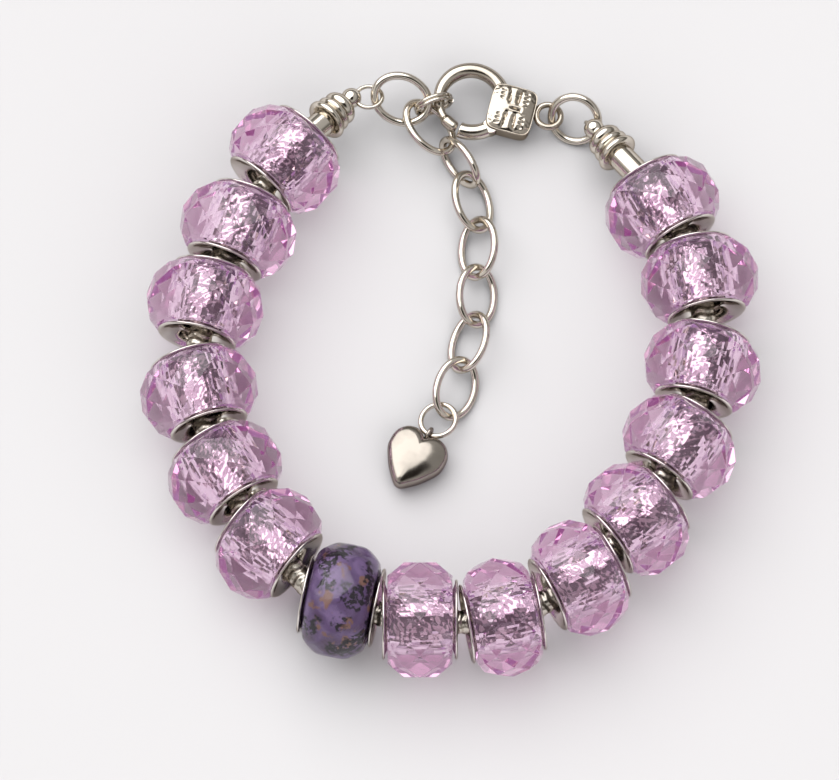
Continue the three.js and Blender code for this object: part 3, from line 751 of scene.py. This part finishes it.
for side, (*_, heading, drop, ring_heading, ring_pitch, ring_tilt) in CAPS.items():
    ball = ball_centre(side)
    outline = np.concatenate([BALL_OUTLINE, RIDGES, NECK])
    points, faces = lathe(outline, CAP_COLUMNS, closed=False)
    points = placed(along_x(points), turn(heading + 180, drop), ball)
    add_piece(f"turned_cap_{side}", points, faces, SILVER, f"end_cap_{side}", weld=True)
    ring_at = ball + RING_REACH * (turn(ring_heading, ring_pitch) @ [1, 0, 0])
    add_loop(f"cap_ring_{side}", RING_SIZE, RING_SIZE, RING_WIRE, ring_heading, ring_pitch, ring_tilt,
             ring_at)
print("caps:", len(CAPS))

# %% [markdown]
# ## Links and rings
# All the loose links and rings are round wire bent to an oval or a circle and closed with a butt
# joint. Each lies leaning on its neighbours, so each has its own heading, pitch and tilt.

# %% Links and rings
LINK = (8.1, 5.9, 0.9)
LOOPS = [
    # name, long, wide, wire, heading, pitch, tilt, seam
    ("link_left", 7.65, 6.45, 0.95, -22.3, -14.5, 29.3, 0.68),
    ("jump_ring_right", 6.65, 6.65, 0.95, -9, 8.8, 43.6, 0.8),
    ("chain_link_1", *LINK, -52.5, -6.3, -24.9, 0.3),
    ("chain_link_2", *LINK, -51.7, 25.4, 71.2, 0.2),
    ("chain_link_3", *LINK, -78, -2, -37, 0.7),
    ("chain_link_4", *LINK, -91, -1, 38, 0.3),
    ("chain_link_5", *LINK, -96, 0, -36, 0.75),
    ("chain_link_6", *LINK, -103, 0, 38, 0.3),
    ("chain_link_7", *LINK, -109, -3, -32, 0.7),
    ("heart_ring", 4.9, 4.9, 0.65, -184.5, -11.7, 6.8, 0.4),
]
for name, long, wide, wire_size, heading, pitch, tilt, seam in LOOPS:
    add_loop(name, long, wide, wire_size, heading, pitch, tilt, middle(name), seam)
print("links and rings:", len(LOOPS))

# %% [markdown]
# ## The split ring
# A split ring is a flat-sided key ring in small: two full turns of thin wire lying against each other.
# Its middle line is a helix of two turns, eased so that it steps from one turn to the next over a
# short stretch, as the real one does.

# %% Split ring
SPLIT_SIZE, SPLIT_WIRE, SPLIT_WIDTH = 4.85, 0.52, 0.96
SPLIT_TURN = turn(19.4, 0.7, 90.9)
SPLIT_STEPS, SPLIT_COLUMNS = 180, 14
turns = np.linspace(0, 1, SPLIT_STEPS + 1)
angle = 4 * np.pi * turns
offset = (SPLIT_WIDTH - SPLIT_WIRE * 0.94) * (1 / (1 + np.exp(-(turns - 0.5) * 40)) - 0.5)
radius = (SPLIT_SIZE - SPLIT_WIRE) / 2
path = np.stack([radius * np.cos(angle), radius * np.sin(angle), offset], axis=-1)
points, faces = wire(path, SPLIT_WIRE / 2, SPLIT_COLUMNS, [0, 0, 1])
points = placed(points, SPLIT_TURN, middle("split_ring"))
add_piece("split_coil", points, faces, SILVER, "split_ring")
print("split ring's wire, mm:", round(4 * np.pi * radius, 1))

# %% [markdown]
# ## The clasp
# The clasp is cast in one with its block and its eye: a round hoop with a gap in it, a thick cushion
# of a block with a pattern in relief on its face, and a small ring at the far side. A lever closes the
# gap and turns on a pin in the block, so it is a piece of its own and rides on its own body. The hoop
# and the lever are both stretches of one circle of wire.

# %% Clasp places
HOOP_RADIUS = 3.9
HOOP_WIRE = np.array([
    # angle round the hoop, thickness: a narrow waist where the rings hang, then a bullet-shaped tip
    (28, 1.8), (135, 1.8), (160, 1.6), (182, 1.36), (199, 1.34), (203, 1.2), (206, 1.0), (226, 1.0),
    (229, 1.2), (232, 1.46), (236, 1.5), (251, 1.5), (254, 1.36), (256, 1.0), (262, 0.9),
])
LEVER_WIRE, LEVER_ROUND = 1.9, 0.12         # thickness, and rounding of its cut end
KNUCKLE_HALF, KNUCKLE_EDGE = 0.75, 0.08     # half the knuckle's height, and its chamfer
HOOP_STEPS, LEVER_STEPS, CLASP_COLUMNS, KNUCKLE_COLUMNS = 200, 96, 28, 32
BLOCK = np.array([5.5, 5.9, 3.2])
BLOCK_X = 4.87
PIVOT_ANGLE, LEVER_REACH, SEAM = -42, 3.7, 0.3
EYE_SIZE, EYE_WIRE, EYE_X, EYE_Y, EYE_TILT = 3.7, 0.75, 9.3, 0.7, -6
clasp_turn = turn(-14, -5)
hinge = frame["record"]["behaviour"]["joints"][0]
pivot = HOOP_RADIUS * np.array([np.cos(np.radians(PIVOT_ANGLE)), np.sin(np.radians(PIVOT_ANGLE)), 0])
clasp_at = np.array(hinge["pos_m"]) / MM - clasp_turn @ pivot
print("hoop centre, mm:", np.round(clasp_at, 2))


def arc_path(start, finish, steps):
    """Part of the hoop's circle, from one angle to another."""
    angle = np.radians(np.linspace(start, finish, steps))
    return HOOP_RADIUS * np.stack([np.cos(angle), np.sin(angle), 0 * angle], axis=-1)


def angle_at_reach(reach):
    """Angle on the hoop's circle that lies at a straight distance from the pivot: the chord rule."""
    return PIVOT_ANGLE - np.degrees(2 * np.arcsin(reach / 2 / HOOP_RADIUS))


# %% Hoop and lever
hoop_end = 360 + angle_at_reach(LEVER_REACH + SEAM)
hoop_angles = np.linspace(HOOP_WIRE[0, 0], hoop_end, HOOP_STEPS)
hoop_radius = np.interp(hoop_angles, *HOOP_WIRE.T)[:, None] / 2
hoop_shape = wire(arc_path(HOOP_WIRE[0, 0], hoop_end, HOOP_STEPS), hoop_radius, CLASP_COLUMNS, [0, 0, 1])
lever_path = arc_path(PIVOT_ANGLE - 8, angle_at_reach(LEVER_REACH), LEVER_STEPS)
from_cut = np.minimum(1, np.arange(LEVER_STEPS)[::-1] / 5)
lever_half = LEVER_WIRE / 2
lever_radius = (lever_half - LEVER_ROUND * (1 - np.sqrt(1 - (1 - from_cut) ** 2)))[:, None]
lever_shape = wire(lever_path, lever_radius, CLASP_COLUMNS, [0, 0, 1])
upper = np.array([(lever_half, KNUCKLE_HALF - KNUCKLE_EDGE), (lever_half - KNUCKLE_EDGE, KNUCKLE_HALF),
                  (0, KNUCKLE_HALF)])
outline = np.concatenate([(upper * [1, -1])[::-1], upper])
knuckle, knuckle_faces = lathe(outline, KNUCKLE_COLUMNS, closed=False)
points, faces = joined(lever_shape, (knuckle + pivot, knuckle_faces))
points = placed(points, clasp_turn, clasp_at)
add_piece("clasp_gate", points, faces, SILVER, "clasp_lever", "clasp_lever", weld=True)
print("hoop ends at, degrees:", round(hoop_end, 1))


# %% Block with its relief
def relief(x, y):
    """Height of the ornament over the cushion: four corner lobes with rows of short cuts, a bar and two
    grooves between the lobes, and a bow with a slot across the middle. Each is a bell,
    exp(-(distance / width) ^ power), with distance and width as shares of the half block; the cuts are
    two cosine waves multiplied, and all of it lies on a low dome."""
    u, v = np.abs(x) / (BLOCK[0] / 2), np.abs(y) / (BLOCK[1] / 2)
    lobe = np.exp(-(np.hypot(u - 0.52, v - 0.54) / 0.32) ** 4)
    cuts = (0.5 + 0.5 * np.cos(2 * np.pi * (v - 0.54) / 0.19)) * (
        0.5 + 0.5 * np.cos(2 * np.pi * (u - 0.52) / 0.34))
    past_bow = 1 / (1 + np.exp(-(v - 0.24) * 40))
    bar = past_bow * np.exp(-(u / 0.1) ** 4)
    grooves = past_bow * np.exp(-((u - 0.19) / 0.06) ** 2)
    bow = np.exp(-(v / 0.17) ** 2 - (u / 0.6) ** 4)
    slot = np.exp(-(y / BLOCK[1] / 0.025) ** 2 - ((x / BLOCK[0] - 0.08) / 0.12) ** 4)
    dome = 0.17 * (u**2 + v**2)
    raised = 0.14 * lobe + 0.07 * bar + 0.16 * bow
    sunk = 0.16 * cuts * lobe + 0.2 * grooves + 0.34 * slot
    return raised - sunk - dome - 0.18


BLOCK_FLAT, BLOCK_SQUARE = 0.3, 0.36        # 1 is a ball; the smaller, the flatter and squarer
BLOCK_COLUMNS, TOP_ROWS, SIDE_ROWS, BOTTOM_ROWS = 240, 64, 22, 20


def block_shape():
    """A cushion: a ball whose plan is a rounded square (a superellipse) and whose top and bottom are
    flattened, with the ornament added to its height over the top face. Rows on the two faces are
    evenly spaced from the middle out, so that the ornament is as fine in the middle as at the edge."""
    top, bottom = (np.arccos(np.linspace(0.97, 0, rows) ** (1 / BLOCK_FLAT))
                   for rows in (TOP_ROWS, BOTTOM_ROWS))
    side = np.linspace(-bottom[0], top[0], SIDE_ROWS + 2)[1:-1]
    latitude = np.concatenate([-bottom[::-1], side, top])[:, None]
    longitude = (2 * np.pi * np.arange(BLOCK_COLUMNS) / BLOCK_COLUMNS)[None, :]

    def power(value, exponent):
        return np.sign(value) * np.abs(value) ** exponent

    across = power(np.cos(latitude), BLOCK_FLAT)
    x = BLOCK[0] / 2 * across * power(np.cos(longitude), BLOCK_SQUARE)
    y = BLOCK[1] / 2 * across * power(np.sin(longitude), BLOCK_SQUARE)
    z = BLOCK[2] / 2 * power(np.sin(latitude), BLOCK_FLAT) + 0 * longitude
    z = z + relief(x, y) / (1 + np.exp(-(z - 1.2) * 14))
    points = np.stack([x, y, z], axis=-1).reshape(-1, 3) + [BLOCK_X, 0, 0]
    return points, [grid_faces(len(latitude), BLOCK_COLUMNS)]


eye_turn = turn(0, 0, EYE_TILT)
eye_path = placed(oval_path(EYE_SIZE, EYE_SIZE, EYE_WIRE), eye_turn, np.array([EYE_X, EYE_Y, 0]))
eye_shape = wire(eye_path, EYE_WIRE / 2, LOOP_COLUMNS, eye_turn @ [0, 0, 1], closed=True)
points, faces = joined(hoop_shape, block_shape(), eye_shape)
points = placed(points, clasp_turn, clasp_at)
add_piece("clasp_casting", points, faces, CASTING_PLATE, "clasp_body", weld=True)
print("clasp casting, points:", len(points))

# %% [markdown]
# ## The heart
# The charm is a puffed heart, polished like a mirror, with a small lug soldered at the notch. Half of
# its outline is a row of measured points with a smooth line through them, and the other half is its
# mirror. Towards the top of the dome the outline shrinks and turns from a heart into a circle, so the
# middle is one smooth bulge and only the part near the notch is creased.

# %% Heart
HEART_THICK, HEART_WALL, HEART_MIDDLE, DOME_RADIUS = 3.7, 0.6, 4.3, 3.0
WALL_REACH = 20                             # degrees of latitude over which the wall stands upright
HEART_HEADING = 60
LUG_SIZE, LUG_WIRE, LUG_FROM = 1.9, 0.5, 7.6
OUTLINE_STEPS, HEART_ROWS, LUG_STEPS, LUG_COLUMNS = 6, 80, 48, 16
HEART_OUTLINE = [
    # distance from the tip, half-width
    (0, 0), (0.1, 0.45), (0.65, 1.1), (1.7, 2.1), (2.85, 2.9), (3.8, 3.45), (4.65, 3.62), (5.7, 3.58),
    (6.5, 3.27), (7.15, 2.65), (7.42, 2.0), (7.47, 1.4), (7.28, 0.78), (6.98, 0.35), (6.7, 0),
]


def heart_shape():
    """Rings of two domes with a short upright wall between them: the height follows sin and the size
    cos. At each ring the outline's distance from the middle is mixed with the circle's, by size and
    1 - size."""
    half = np.array(HEART_OUTLINE)
    whole = np.concatenate([half, half[-2:0:-1] * [1, -1]])
    outline = rounded(whole, OUTLINE_STEPS, closed=True) - [HEART_MIDDLE, 0]
    latitude = np.linspace(-np.pi / 2, np.pi / 2, HEART_ROWS)[:, None, None]
    size = np.cos(latitude)
    far = np.linalg.norm(outline, axis=1, keepdims=True)
    flat = outline * size * (size + (1 - size) * DOME_RADIUS / far) + [HEART_MIDDLE, 0]
    wall = HEART_WALL * np.sin(np.pi / 2 * np.clip(latitude / np.radians(WALL_REACH), -1, 1))
    height = (HEART_THICK / 2 - HEART_WALL) * np.sin(latitude) + wall + 0 * far
    return np.concatenate([flat, height], axis=-1).reshape(-1, 3), [grid_faces(HEART_ROWS, len(outline))]


lug_path = oval_path(LUG_SIZE, LUG_SIZE, LUG_WIRE, LUG_STEPS)[:, [0, 2, 1]] + [LUG_FROM, 0, 0]
lug_shape = wire(lug_path, LUG_WIRE / 2, LUG_COLUMNS, [0, 1, 0], closed=True)
points, faces = joined(heart_shape(), lug_shape)
points = placed(points, turn(HEART_HEADING), np.zeros(3))
points += middle("heart_charm") - (points.min(axis=0) + points.max(axis=0)) / 2
add_piece("puffed_heart", points, faces, HEART_POLISH, "heart_charm", crease=60,
          weld=True)
print("heart, mm:", np.round(np.ptp(points, axis=0), 1))
